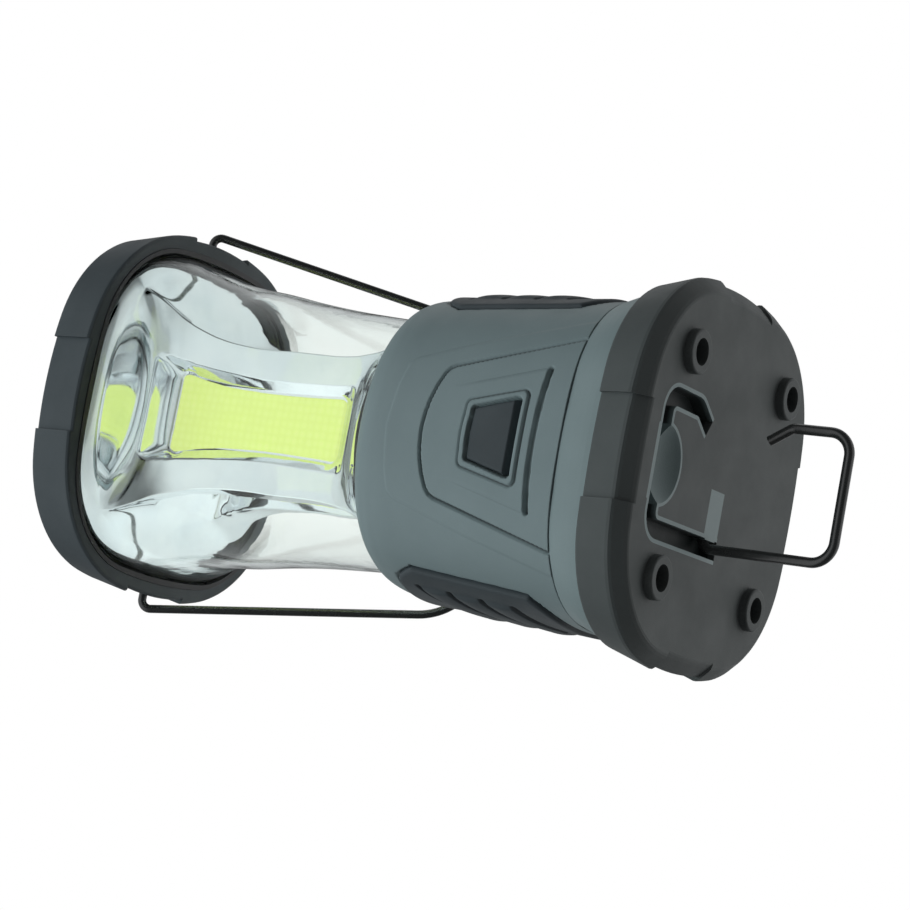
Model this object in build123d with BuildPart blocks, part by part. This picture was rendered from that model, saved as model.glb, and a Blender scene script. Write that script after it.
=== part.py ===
from build123d import *

import os
from math import cos, radians, sin

# Camping lantern, in millimetres. It stands upright on four feet at z = 0, with its
# lamp and cap above its battery body. The power button faces -Y.

# Heights of the shell, from the feet up
FACE_Z = 2.5  # underside of the base, between the feet
CHAMFER_Z = 6.5  # top of the chamfer round the base
BUMPER_TOP_Z = 17.5  # top of the rubber round the base
SEAM_Z = 28.5  # parting line of the twist-off base
SHOULDER_Z = 86.0  # where the body starts to round in
NECK_Z = 95.5  # mouth of the body, round the lens
CAP_LOW_Z = 182.5  # underside of the cap
CAP_TOP_Z = 198.0

# Plan sections are squares with bulging sides and round corners, each given as its reach
# from the axis to the middle of a side and to a corner.
BUMPER_LEVELS = (
    (FACE_Z, (48.9, 54.3)),
    (2.7, (49.5, 54.9)),
    (3.3, (50.4, 55.6)),
    (5.8, (53.0, 57.8)),
    (CHAMFER_Z, (53.5, 58.2)),
    (7.4, (53.5, 58.2)),
    (16.8, (50.35, 56.05)),
    (17.3, (50.0, 55.75)),
    (BUMPER_TOP_Z, (49.4, 55.1)),
)
SEAM_SIZE = (45.5, 50.0)
MIDDLE_SIZE = (43.5, 47.2)
SHOULDER_SIZE = (42.6, 45.6)
CAP_LEVELS = (
    (CAP_LOW_Z, (54.7, 58.2)),
    (182.7, (55.2, 58.7)),
    (183.3, (55.5, 59.0)),
    (184.0, (55.4, 58.95)),
    (196.9, (52.9, 57.05)),
    (197.6, (52.5, 56.7)),
    (CAP_TOP_Z, (51.8, 56.1)),
)

WALL = 2.0
SIDE_STEP = 1.2  # depth of the recess in the middle of each rubber side
SIDE_HALF = 13.8  # half-width of that recess

# Feet and base screws
FOOT_AT = 30.0
FOOT_RADIUS = 6.0
WELL_RADIUS = 3.65
WELL_TOP_Z = 11.0

# Hanging hook, a bent wire hinged in the base
HOOK_WIRE = 1.4  # radius
HOOK_Y = -1.0
HOOK_Z = 4.5
HOOK_LEFT = -18.0
HOOK_RIGHT = 17.0
HOOK_REACH = 37.5  # from the hinge to the cross bar
RUN_FIT = 0.05  # radial clearance of a turning wire

# Carrying bail, a bent wire pivoted in the cap
BAIL_WIRE = 1.25
BAIL_Z = 187.0
BAIL_HALF = 58.4
BAIL_REACH = 100.0
BAIL_END_HALF = 42.3  # half-width of the bail where its cross bar is
BAIL_FOLD = 27.0  # degrees from straight down, against the back of the body

# Batteries: four D cells, two by two
CELL_RADIUS = 17.1
CELL_LENGTH = 61.5
CELL_AT = 17.2
CELL_LOW_Z = 25.5

# Twist-off base: collar and bayonet lugs
COLLAR_OUTER = 43.2
COLLAR_INNER = 41.9
COLLAR_TOP_Z = 38.0
TWIST_GAP = 0.3
LUG_OUTER = 45.2
LUG_LOW_Z = 33.0
LUG_HIGH_Z = 36.0

# Front face, where the switch sits: it leans back as it rises
LEAN = (MIDDLE_SIZE[0] - SEAM_SIZE[0]) / (66.0 - SEAM_Z)
FRONT = Plane(
    origin=(0, -SEAM_SIZE[0] - LEAN * (50.0 - SEAM_Z), 50.0),
    x_dir=(1, 0, 0),
    z_dir=(0, -1, -LEAN),
)
PANEL_GAP = 0.3
PANEL_PROUD = 0.3
BEZEL_PROUD = 1.0
SKIN_DEPTH = 1.0  # depth of the beds that the switch panel and the side grips sit in

# Lamp
LED_FACE = 19.5  # distance of the lit strips from the axis
LED_LOW_Z = 113.5
LED_HIGH_Z = 174.5

PARTS = []


def keep(piece, label):
    """Name a finished piece, to be written as parts/label.step."""
    piece.part.label = label
    PARTS.append(piece)


def section(z, size, grow=0.0):
    """Plan section at height z, eight arcs that swing between side and corner reach."""
    side, corner = (reach + grow for reach in size)
    between = (side + corner) / 2
    points = []
    for step in range(17):
        reach = (side, between, corner, between)[step % 4]
        angle = radians(22.5 * step)
        points.append((reach * cos(angle), reach * sin(angle)))
    points.append(points[1])
    with BuildSketch(Plane.XY.offset(z)) as outline:
        with BuildLine():
            for start in range(1, 16, 2):
                ThreePointArc(*points[start : start + 3])
        make_face()
    return outline.sketch


def stack(*levels, grow=0.0, mode=Mode.ADD):
    """Ruled solid through plan sections, each given as (z, size)."""
    for (low_z, low), (high_z, high) in zip(levels, levels[1:]):
        sections = [section(low_z, low, grow), section(high_z, high, grow)]
        loft(sections=sections, ruled=True, mode=mode)


def disc(z, height, radius, hole=0.0, mode=Mode.ADD):
    """Round plate or ring on the axis, rising from z."""
    with BuildSketch(Plane.XY.offset(z)) as outline:
        Circle(radius)
        if hole:
            Circle(hole, mode=Mode.SUBTRACT)
    extrude(to_extrude=outline.sketch, amount=height, mode=mode)


def side_blocks(low_z, high_z):
    """Four blocks that hold the middle of each side, for its recess."""
    with BuildPart(mode=Mode.PRIVATE) as blocks:
        with BuildSketch(Plane.XY.offset(low_z)):
            with PolarLocations(55, 4):
                Rectangle(50, 2 * SIDE_HALF)
        extrude(amount=high_z - low_z)
    return blocks.part


# ---------------------------------------------------------------- base

# Centre line of the hook's channel in the underside of the base
CHANNEL = [
    (HOOK_LEFT, 3.2),
    (HOOK_LEFT, HOOK_Y - HOOK_REACH + 0.6),
    (HOOK_RIGHT, HOOK_Y - HOOK_REACH + 0.6),
    (HOOK_RIGHT, -20.0),
    (12.6, -13.2),
]
CHANNEL_WIDTH = 5.1
CHANNEL_RIM = 7.2  # width of the channel with its pale rim
CHANNEL_BEND = 4.5
CHANNEL_TOP_Z = 7.2
SCOOP_AT = (-1.2, -36.5)
SCOOP_RADIUS = 10.4
SCOOP_DEPTH = 4.6
FLOOR_TOP_Z = 9.5
RETAINER = (-15.8, -3.4, -4.3, 1.8)  # low x, high x, low y, high y
CARRIER_Z = 19.0
FLANGE_TOP_Z = 21.8
CUP_ROOM = (44.6, 49.0)
CARRIER_RADIUS = 38.4


def channel_outline(width, scoop):
    """Plan of the hook's channel, with the finger scoop beside it."""
    with BuildSketch() as outline:
        with BuildLine():
            FilletPolyline(*CHANNEL, radius=CHANNEL_BEND)
        trace(line_width=width)
        with Locations(SCOOP_AT):
            Circle(scoop)
        with Locations((0, HOOK_Y - HOOK_REACH - 20 - CHANNEL_RIM / 2)):
            Rectangle(60, 40, mode=Mode.SUBTRACT)
    return outline.sketch


def retainer_outline(grow=0.0):
    """Plan of the strap that holds the hook's hinge bar."""
    low_x, high_x, low_y, high_y = RETAINER
    with BuildSketch() as outline:
        with Locations(((low_x + high_x) / 2, (low_y + high_y) / 2)):
            Rectangle(high_x - low_x + 2 * grow, high_y - low_y + 2 * grow)
    return outline.sketch


def cut_up(outline, low_z, high_z, mode=Mode.SUBTRACT):
    """Extrude a plan outline between two heights."""
    extrude(to_extrude=Pos(0, 0, low_z) * outline, amount=high_z - low_z, mode=mode)


FEET = GridLocations(2 * FOOT_AT, 2 * FOOT_AT, 2, 2)
RIM_PLAN = channel_outline(CHANNEL_RIM, SCOOP_RADIUS + 0.9)
CHANNEL_PLAN = channel_outline(CHANNEL_WIDTH, 1.0)

with BuildPart() as base_bumper:
    # Rubber shell over the base, with a shallow recess in the middle of each side
    stack(*BUMPER_LEVELS)
    add(side_blocks(FACE_Z - 1, BUMPER_TOP_Z + 1), mode=Mode.SUBTRACT)
    stack(*BUMPER_LEVELS, grow=-SIDE_STEP)
    # Cavity that the base cup fills
    stack(
        (FACE_Z + WALL, (47.2, 52.2)),
        (BUMPER_TOP_Z, (47.2, 52.2)),
        mode=Mode.SUBTRACT,
    )
    with BuildSketch():
        with FEET:
            Circle(FOOT_RADIUS)
    extrude(amount=FACE_Z)
    fillet(base_bumper.edges().group_by(Axis.Z)[0].filter_by(GeomType.CIRCLE), radius=0.6)
    with BuildSketch():
        with FEET:
            Circle(WELL_RADIUS)
    extrude(amount=FACE_Z + WALL, mode=Mode.SUBTRACT)
    cut_up(RIM_PLAN, FACE_Z - 0.5, FACE_Z + WALL)
    cut_up(retainer_outline(1.1), FACE_Z - 0.5, FACE_Z + WALL)
keep(base_bumper, "base_bumper")

with BuildPart() as scoop:
    # Bowl for a fingertip, cut off along the channel's outer side
    ball_radius = (SCOOP_RADIUS**2 + SCOOP_DEPTH**2) / (2 * SCOOP_DEPTH)
    with Locations((*SCOOP_AT, FACE_Z + SCOOP_DEPTH - ball_radius)):
        Sphere(ball_radius)
    outer_side = CHANNEL[1][1] - CHANNEL_WIDTH / 2
    split(bisect_by=Plane.XZ.offset(-outer_side), keep=Keep.BOTTOM)

with BuildPart() as base_cup:
    stack((FACE_Z + WALL, (47.2, 52.2)), (BUMPER_TOP_Z, (47.2, 52.2)))
    # Flared ring that shows above the rubber
    stack(
        (BUMPER_TOP_Z, (48.2, 53.8)),
        (19.2, (48.0, 53.4)),
        (21.2, (47.6, 52.8)),
        (23.5, (47.0, 52.0)),
        (26.0, (46.2, 51.0)),
        (SEAM_Z - TWIST_GAP, SEAM_SIZE),
    )
    stack((FLOOR_TOP_Z, CUP_ROOM), (FLANGE_TOP_Z, CUP_ROOM), mode=Mode.SUBTRACT)
    disc(FLANGE_TOP_Z, 10, COLLAR_OUTER, mode=Mode.SUBTRACT)
    # Pillars for the base screws
    with BuildSketch(Plane.XY.offset(FLOOR_TOP_Z)):
        with FEET:
            Circle(FOOT_RADIUS)
    extrude(amount=CARRIER_Z - FLOOR_TOP_Z)
    # The channel's rim, level with the rubber face
    cut_up(RIM_PLAN, FACE_Z, FACE_Z + WALL, mode=Mode.ADD)
    cut_up(retainer_outline(1.1), FACE_Z, FACE_Z + WALL, mode=Mode.ADD)
    cut_up(CHANNEL_PLAN, FACE_Z - 0.5, CHANNEL_TOP_Z)
    cut_up(retainer_outline(), FACE_Z - 0.5, CHANNEL_TOP_Z)
    add(scoop.part, mode=Mode.SUBTRACT)
    # Screw wells, and the screws' clearance above them
    with BuildSketch(Plane.XY.offset(FACE_Z)):
        with FEET:
            Circle(WELL_RADIUS)
    extrude(amount=WELL_TOP_Z - FACE_Z, mode=Mode.SUBTRACT)
    with BuildSketch(Plane.XY.offset(WELL_TOP_Z)):
        with FEET:
            Circle(1.6)
    extrude(amount=CARRIER_Z - WELL_TOP_Z, mode=Mode.SUBTRACT)
keep(base_cup, "base_cup")

with BuildPart() as base_collar:
    # Ring screwed to the cup, with a bayonet lug near each corner
    disc(CARRIER_Z, FLANGE_TOP_Z - CARRIER_Z, 46.0)
    stack((CARRIER_Z, CUP_ROOM), (FLANGE_TOP_Z, CUP_ROOM), grow=-0.1, mode=Mode.INTERSECT)
    disc(FLANGE_TOP_Z, COLLAR_TOP_Z - FLANGE_TOP_Z, COLLAR_OUTER)
    disc(CARRIER_Z, FLANGE_TOP_Z - CARRIER_Z, CARRIER_RADIUS + 0.2, mode=Mode.SUBTRACT)
    disc(FLANGE_TOP_Z, COLLAR_TOP_Z - FLANGE_TOP_Z, COLLAR_INNER, mode=Mode.SUBTRACT)
    for quarter in range(4):
        with BuildSketch(Plane.XY.offset(LUG_LOW_Z).rotated((0, 0, 90 * quarter + 62))):
            with Locations(((COLLAR_INNER + 0.3 + LUG_OUTER) / 2, 0)):
                Rectangle(LUG_OUTER - COLLAR_INNER - 0.3, 9.0)
        extrude(amount=LUG_HIGH_Z - LUG_LOW_Z)
    with BuildSketch(Plane.XY.offset(CARRIER_Z)):
        with FEET:
            Circle(1.5)
    extrude(amount=FLANGE_TOP_Z - CARRIER_Z, mode=Mode.SUBTRACT)
keep(base_collar, "base_collar")

with BuildPart() as hook_retainer:
    cut_up(retainer_outline(), FACE_Z, CHANNEL_TOP_Z, mode=Mode.ADD)
    with Locations(Location((-9.0, HOOK_Y, HOOK_Z), (0, 90, 0))):
        Cylinder(HOOK_WIRE + RUN_FIT, 20, mode=Mode.SUBTRACT)
keep(hook_retainer, "hook_retainer")

with BuildPart() as hook_wire:
    with BuildLine(Plane.XZ.offset(-HOOK_Y)) as hook_path:
        FilletPolyline(
            (RETAINER[1] - 0.6, HOOK_Z),
            (HOOK_LEFT, HOOK_Z),
            (HOOK_LEFT, HOOK_Z - HOOK_REACH),
            (HOOK_RIGHT, HOOK_Z - HOOK_REACH),
            (HOOK_RIGHT, HOOK_Z - 20.5),
            (12.9, HOOK_Z - 14.2),
            radius=(2.4, 6.0, 6.0, 3.5),
        )
    with BuildSketch(Plane(origin=hook_path.line @ 0, z_dir=hook_path.line % 0)):
        Circle(HOOK_WIRE)
    sweep(path=hook_path.line)
keep(hook_wire, "hook_wire")

with BuildPart() as base_screws:
    # Pan-head screws that hold the collar to the cup
    with BuildSketch(Plane.XY.offset(WELL_TOP_Z - 2.4)):
        with FEET:
            Circle(3.1)
    extrude(amount=2.4)
    with BuildSketch(Plane.XY.offset(WELL_TOP_Z)):
        with FEET:
            Circle(1.5)
    extrude(amount=FLANGE_TOP_Z - 0.4 - WELL_TOP_Z)
    with BuildSketch(Plane.XY.offset(WELL_TOP_Z - 2.5)):
        with FEET:
            Rectangle(4.6, 0.9)
            Rectangle(0.9, 4.6)
    extrude(amount=1.4, mode=Mode.SUBTRACT)
keep(base_screws, "base_screws")

with BuildPart() as contact_carrier:
    # Insulating plate under the cells, on the pillars' inner edges and ribs of the cup
    disc(CARRIER_Z, 1.8, CARRIER_RADIUS)
    disc(FLOOR_TOP_Z, CARRIER_Z - FLOOR_TOP_Z, 9.0, hole=7.0)
keep(contact_carrier, "contact_carrier")

with BuildPart() as base_contacts:
    # Two plated strips, each joining the cells of one side
    with BuildSketch(Plane.XY.offset(CARRIER_Z + 1.8)):
        with GridLocations(2 * CELL_AT, 0, 2, 1):
            SlotOverall(2 * CELL_AT + 14, 11, rotation=90)
    extrude(amount=0.5)
keep(base_contacts, "base_contacts")

CONTACT_Z = CARRIER_Z + 2.3
with BuildPart() as contact_springs:
    # Leaf springs that arch up to the cells
    arch_rise = CELL_LOW_Z - CONTACT_Z - 0.3
    with BuildSketch(Plane.XZ):
        for side in (-1, 1):
            with BuildLine():
                ThreePointArc(
                    (side * CELL_AT - 9, CONTACT_Z),
                    (side * CELL_AT, CONTACT_Z + arch_rise),
                    (side * CELL_AT + 9, CONTACT_Z),
                )
                ThreePointArc(
                    (side * CELL_AT + 8, CONTACT_Z),
                    (side * CELL_AT, CONTACT_Z + arch_rise - 0.6),
                    (side * CELL_AT - 8, CONTACT_Z),
                )
                Line((side * CELL_AT - 9, CONTACT_Z), (side * CELL_AT - 8, CONTACT_Z))
                Line((side * CELL_AT + 9, CONTACT_Z), (side * CELL_AT + 8, CONTACT_Z))
            make_face()
    extrude(amount=CELL_AT + 3, both=True)
    with Locations((0, 0, CONTACT_Z)):
        Box(100, 2 * CELL_AT - 6, 20, mode=Mode.SUBTRACT)
keep(contact_springs, "contact_springs")

with BuildPart() as base_seal:
    # O-ring between the collar and the body
    with BuildSketch(Plane.XZ) as ring:
        with Locations((COLLAR_OUTER - 0.05, COLLAR_TOP_Z - 6.8)):
            Circle(0.9)
    revolve(axis=Axis.Z)
    disc(COLLAR_TOP_Z - 9, 6, COLLAR_OUTER + 0.24, mode=Mode.INTERSECT)
    disc(COLLAR_TOP_Z - 9, 6, COLLAR_OUTER, mode=Mode.SUBTRACT)
keep(base_seal, "base_seal")


# ---------------------------------------------------------------- body

BODY_LEVELS = (
    (SEAM_Z, SEAM_SIZE),
    (66.0, MIDDLE_SIZE),
    (SHOULDER_Z, SHOULDER_SIZE),
    (89.6, (42.1, 44.8)),
    (92.7, (40.9, 43.0)),
    (94.7, (39.3, 40.6)),
    (NECK_Z, (37.9, 38.6)),
)
LENS_NECK = 36.9  # radius of the lens where it enters the body
BORE = COLLAR_OUTER + TWIST_GAP

# Switch panel outline on the front face, as (half-width, height above the plane's origin)
PANEL_LOW = (29.4, -24.0)
PANEL_HIGH = (18.1, 16.2)
PANEL_CROWN = 22.0
BUTTON_LOW = (11.2, -8.0)
BUTTON_HIGH = (7.7, 8.2)
BUTTON_CROWN = 8.8


def crowned_trapezoid(low, high, crown, grow=0.0, corner=1.6):
    """Trapezoid with an arched top, its corners rounded, grown outward by grow."""
    with BuildSketch() as outline:
        with BuildLine():
            Polyline(
                (-high[0], high[1]), (-low[0], low[1]), (low[0], low[1]), (high[0], high[1])
            )
            ThreePointArc((high[0], high[1]), (0, crown), (-high[0], high[1]))
        make_face()
        fillet(outline.vertices(), radius=corner)
        if grow:
            offset(amount=grow)
    return outline.sketch


def on_front(outline, inner, outer, mode=Mode.ADD):
    """Extrude an outline on the front face from inner to outer, measured outward."""
    placed = FRONT.offset(inner).location * outline
    extrude(to_extrude=placed, amount=outer - inner, mode=mode)


PANEL_PLAN = crowned_trapezoid(PANEL_LOW, PANEL_HIGH, PANEL_CROWN)
PANEL_POCKET = crowned_trapezoid(PANEL_LOW, PANEL_HIGH, PANEL_CROWN, grow=PANEL_GAP)
BUTTON_PLAN = crowned_trapezoid(BUTTON_LOW, BUTTON_HIGH, BUTTON_CROWN)
BUTTON_HOLE = crowned_trapezoid(BUTTON_LOW, BUTTON_HIGH, BUTTON_CROWN, grow=0.35)
BEZEL_PLAN = crowned_trapezoid(BUTTON_LOW, BUTTON_HIGH, BUTTON_CROWN, grow=1.7)
SWITCH_WINDOW = crowned_trapezoid(BUTTON_LOW, BUTTON_HIGH, BUTTON_CROWN, grow=1.4)

# Side grips: outline on the side, as (y, z)
GRIP_LOW_Z = 33.0
GRIP_TOP_Z = 83.0
GRIP_HALF = 28.6
GRIP_PROUD = 1.5


def grip_outline(grow=0.0):
    """Outline of a side grip, seen from the side."""
    with BuildSketch(Plane.YZ) as outline:
        with BuildLine():
            Polyline(
                (-GRIP_HALF, 38.0),
                (-GRIP_HALF, GRIP_TOP_Z - 3.0),
                (-GRIP_HALF + 5.0, GRIP_TOP_Z + 0.5),
                (0, GRIP_TOP_Z + 3.0),
                (GRIP_HALF - 5.0, GRIP_TOP_Z + 0.5),
                (GRIP_HALF, GRIP_TOP_Z - 3.0),
                (GRIP_HALF, 38.0),
                (GRIP_HALF - 14.0, GRIP_LOW_Z),
                (-GRIP_HALF + 14.0, GRIP_LOW_Z),
                close=True,
            )
        make_face()
        if grow:
            offset(amount=grow)
    return outline.sketch


def skin_patch(outline, reach, proud):
    """Layer of the body's skin under an outline, from SKIN_DEPTH inside to proud of it."""
    with BuildPart(mode=Mode.PRIVATE) as patch:
        stack(*BODY_LEVELS[:4], grow=proud)
        stack(*BODY_LEVELS[:4], grow=-SKIN_DEPTH, mode=Mode.SUBTRACT)
        extrude(to_extrude=outline, amount=reach, mode=Mode.INTERSECT)
    return patch.part


def on_panel(outline):
    """An outline of the switch panel, set behind the front face to be cut outward."""
    return FRONT.offset(-30).location * outline


with BuildPart() as body_housing:
    stack(*BODY_LEVELS)
    # Room for the switch, the cells and the electronics
    stack(
        (40.0, SEAM_SIZE),
        (66.0, MIDDLE_SIZE),
        (SHOULDER_Z, SHOULDER_SIZE),
        grow=-2.2,
        mode=Mode.SUBTRACT,
    )
    stack((SHOULDER_Z, (39.8, 42.6)), (NECK_Z - 3.0, (38.0, 38.9)), mode=Mode.SUBTRACT)
    disc(NECK_Z - 3.6, 8.0, LENS_NECK + 0.4, mode=Mode.SUBTRACT)
    # Bore for the base's collar, with a bayonet pocket and entry slot for each lug
    disc(SEAM_Z, 12.0, BORE, mode=Mode.SUBTRACT)
    for quarter in range(4):
        for low_turn, high_turn, low_z, high_z in (
            (25.0, 69.5, LUG_LOW_Z - 0.3, LUG_HIGH_Z + 0.3),
            (25.0, 41.0, SEAM_Z - 1.0, LUG_HIGH_Z + 0.3),
        ):
            with BuildSketch(Plane.XY.offset(low_z).rotated((0, 0, 90 * quarter))):
                with BuildLine():
                    start, stop = radians(low_turn), radians(high_turn)
                    middle = (start + stop) / 2
                    reach = LUG_OUTER + 0.5
                    Polyline(
                        (reach * cos(stop), reach * sin(stop)),
                        (40 * cos(stop), 40 * sin(stop)),
                        (40 * cos(start), 40 * sin(start)),
                        (reach * cos(start), reach * sin(start)),
                    )
                    ThreePointArc(
                        (reach * cos(start), reach * sin(start)),
                        (reach * cos(middle), reach * sin(middle)),
                        (reach * cos(stop), reach * sin(stop)),
                    )
                make_face()
            extrude(amount=high_z - low_z, mode=Mode.SUBTRACT)
    # Pocket for the switch panel, and the window behind the button
    add(skin_patch(on_panel(PANEL_POCKET), 60, 1.0), mode=Mode.SUBTRACT)
    on_front(SWITCH_WINDOW, -6.0, 3.0, mode=Mode.SUBTRACT)
    # Beds for the side grips
    for side in (-1, 1):
        add(skin_patch(grip_outline(0.05), side * 60, 0.5), mode=Mode.SUBTRACT)
keep(body_housing, "body_housing")

for side, name in ((-1, "side_grip_left"), (1, "side_grip_right")):
    with BuildPart() as side_grip:
        add(skin_patch(grip_outline(), side * 60, GRIP_PROUD))
        # Slanting finger grooves across the pad
        for step in range(4):
            groove_z = 70.5 - 10.3 * step
            with BuildSketch(Plane.YZ):
                with BuildLine():
                    Polyline((-21, groove_z + 6.5), (0, groove_z), (21, groove_z + 6.5))
                trace(line_width=1.6)
            extrude(amount=side * 60, mode=Mode.SUBTRACT)
        stack(*BODY_LEVELS[:4], grow=GRIP_PROUD - 1.1)
        add(skin_patch(grip_outline(), side * 60, GRIP_PROUD), mode=Mode.INTERSECT)
    keep(side_grip, name)

with BuildPart() as switch_panel:
    add(skin_patch(on_panel(PANEL_PLAN), 60, PANEL_PROUD))
    on_front(BEZEL_PLAN, -0.6, BEZEL_PROUD)
    on_front(BUTTON_HOLE, -3.0, 3.0, mode=Mode.SUBTRACT)
keep(switch_panel, "switch_panel")

with BuildPart() as power_button:
    # Rubber cap: it stands out more at its wide lower end
    on_front(BUTTON_PLAN, -2.6, 3.2)
    slope = Plane(
        origin=FRONT.offset(2.6).origin, x_dir=(1, 0, 0), z_dir=(0, -1, 0.06)
    )
    split(bisect_by=slope, keep=Keep.BOTTOM)
    with BuildSketch(FRONT.offset(-3.6)):
        Circle(3.0)
    extrude(amount=1.2)
keep(power_button, "power_button")

BOARD_PLANE = FRONT.offset(-8.4)
with BuildPart() as switch_board:
    with BuildSketch(BOARD_PLANE):
        RectangleRounded(24, 26, 2)
    extrude(amount=1.0)
keep(switch_board, "switch_board")

with BuildPart() as tact_switch:
    # Momentary switch with its own return spring, just under the button's plunger
    with BuildSketch(BOARD_PLANE.offset(1.0)):
        RectangleRounded(7, 7, 0.6)
    extrude(amount=1.6)
    with BuildSketch(BOARD_PLANE.offset(2.6)):
        Circle(1.7)
    extrude(amount=0.6)
keep(tact_switch, "tact_switch")

with BuildPart() as battery_spine:
    # Post between the cells, with the plate that carries the upper contacts
    with BuildSketch(Plane.XY.offset(CELL_LOW_Z)):
        Rectangle(13.2, 13.2, rotation=45)
    extrude(amount=CELL_LENGTH + 1.5)
    stack((88.5, (36.8, 39.0)), (90.5, (36.8, 39.0)))
    disc(90.5, 3.5, 6.0)
keep(battery_spine, "battery_spine")

for index, (x, y) in enumerate(((-1, -1), (1, -1), (1, 1), (-1, 1)), start=1):
    with BuildPart() as battery_cell:
        with BuildSketch(Plane.XY.offset(CELL_LOW_Z)):
            with Locations((x * CELL_AT, y * CELL_AT)):
                Circle(CELL_RADIUS)
        extrude(amount=CELL_LENGTH - 1.5)
        fillet(battery_cell.edges().filter_by(GeomType.CIRCLE), radius=1.0)
        with BuildSketch(Plane.XY.offset(CELL_LOW_Z + CELL_LENGTH - 1.5)):
            with Locations((x * CELL_AT, y * CELL_AT)):
                Circle(4.7)
        extrude(amount=1.5)
    keep(battery_cell, f"battery_cell_{index}")

with BuildPart() as upper_contacts:
    with BuildSketch(Plane.XY.offset(CELL_LOW_Z + CELL_LENGTH)):
        with GridLocations(0, 2 * CELL_AT, 1, 2):
            SlotOverall(2 * CELL_AT + 12, 11)
    extrude(amount=88.5 - CELL_LOW_Z - CELL_LENGTH)
keep(upper_contacts, "upper_contacts")

with BuildPart() as driver_board:
    disc(94.0, 1.6, 33.0)
    with BuildSketch(Plane.XY.offset(95.6)):
        with Locations((-24, 0)):
            Rectangle(7, 9)
        with Locations((22, 10), (22, -10)):
            Circle(3.4)
        with Locations((-14, 22)):
            Rectangle(9, 5)
    extrude(amount=4.0)
keep(driver_board, "driver_board")


# ---------------------------------------------------------------- lamp

POST_HALF = 16.6
LED_BOARD = 1.6

with BuildPart() as heat_sink:
    # Square post that carries the four lit strips
    with BuildSketch(Plane.XY.offset(95.6)):
        RectangleRounded(2 * POST_HALF, 2 * POST_HALF, 1.5)
        RectangleRounded(2 * POST_HALF - 7, 2 * POST_HALF - 7, 1.5, mode=Mode.SUBTRACT)
    extrude(amount=82.4)
    with BuildSketch(Plane.XY.offset(178.0)):
        RectangleRounded(2 * POST_HALF, 2 * POST_HALF, 1.5)
        with GridLocations(24, 24, 2, 2):
            Circle(1.5, mode=Mode.SUBTRACT)
    extrude(amount=3.0)
keep(heat_sink, "heat_sink")


def waisted_strip(low, middle, high, grow=0.0, corner=2.4):
    """Upright strip with hollow sides, given half-widths at its foot, waist and head."""
    waist_z = 143.5
    with BuildSketch() as outline:
        with BuildLine():
            Line((-low, LED_LOW_Z), (low, LED_LOW_Z))
            ThreePointArc((low, LED_LOW_Z), (middle, waist_z), (high, LED_HIGH_Z))
            Line((high, LED_HIGH_Z), (-high, LED_HIGH_Z))
            ThreePointArc((-high, LED_HIGH_Z), (-middle, waist_z), (-low, LED_LOW_Z))
        make_face()
        fillet(outline.vertices(), radius=corner)
        if grow:
            offset(amount=grow)
    return outline.sketch


STRIP_PLAN = waisted_strip(9.2, 8.6, 12.3)
WELL_PLAN = waisted_strip(9.2, 8.6, 12.3, grow=1.2)
FRAME_PLAN = waisted_strip(9.2, 8.6, 12.3, grow=2.4)
SIDES = (("front", 0), ("right", 90), ("back", 180), ("left", 270))


def side_plane(turn, away):
    """Upright plane facing outward, at a distance from the axis."""
    facing = Plane.XZ.rotated((0, 0, turn))
    return facing.offset(away)


for name, turn in SIDES:
    with BuildPart() as led_board:
        with BuildSketch(side_plane(turn, POST_HALF)):
            with Locations((0, (LED_LOW_Z + LED_HIGH_Z) / 2)):
                RectangleRounded(27, LED_HIGH_Z - LED_LOW_Z + 5, 1.5)
        extrude(amount=LED_BOARD)
    keep(led_board, f"led_board_{name}")
    with BuildPart() as led_strip:
        extrude(
            to_extrude=side_plane(turn, POST_HALF + LED_BOARD).location * STRIP_PLAN,
            amount=LED_FACE - POST_HALF - LED_BOARD,
        )
    keep(led_strip, f"led_strip_{name}")

# Reflector sections: height, reach of a panel's middle and reach of its ridges
REFLECTOR_LEVELS = (
    (98.5, 34.4, 24.3),
    (101.0, 29.2, 23.4),
    (104.0, 25.4, 22.6),
    (108.0, 22.9, 21.8),
    (112.0, 21.8, 21.2),
    (116.0, 21.4, 20.9),
    (131.0, 21.4, 20.9),
    (149.5, 22.0, 21.1),
    (161.5, 22.6, 22.9),
    (171.0, 24.6, 26.6),
    (175.5, 27.4, 29.9),
    (178.5, 31.0, 31.8),
    (180.6, 35.4, 32.8),
    (182.3, 42.4, 33.6),
)
REFLECTOR_RIM = (
    (182.3, 42.4, 33.6),
    (189.6, 48.9, 38.3),
)


def panel_section(z, middle, ridge, shrink=0.0):
    """Four arched sides that meet at the ridges."""
    middle, ridge = middle - shrink, ridge - shrink
    ends = [(ridge, -ridge), (ridge, ridge), (-ridge, ridge), (-ridge, -ridge)]
    tops = [(middle, 0), (0, middle), (-middle, 0), (0, -middle)]
    with BuildSketch(Plane.XY.offset(z)) as outline:
        with BuildLine():
            for index, top in enumerate(tops):
                ThreePointArc(ends[index], top, ends[(index + 1) % 4])
        make_face()
    return outline.sketch


def panel_stack(levels, shrink=0.0, mode=Mode.ADD):
    """Ruled solid through the reflector's sections."""
    for low, high in zip(levels, levels[1:]):
        sections = [panel_section(*low, shrink), panel_section(*high, shrink)]
        loft(sections=sections, ruled=True, mode=mode)


with BuildPart() as panel_block:
    panel_stack(REFLECTOR_LEVELS)

with BuildPart() as well_frames:
    # Walls of the four wells, from the lit strips out to the panels
    for name, turn in SIDES:
        base = side_plane(turn, POST_HALF + LED_BOARD + 0.1).location
        extrude(to_extrude=base * FRAME_PLAN, amount=16)
    add(panel_block.part, mode=Mode.INTERSECT)

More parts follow.
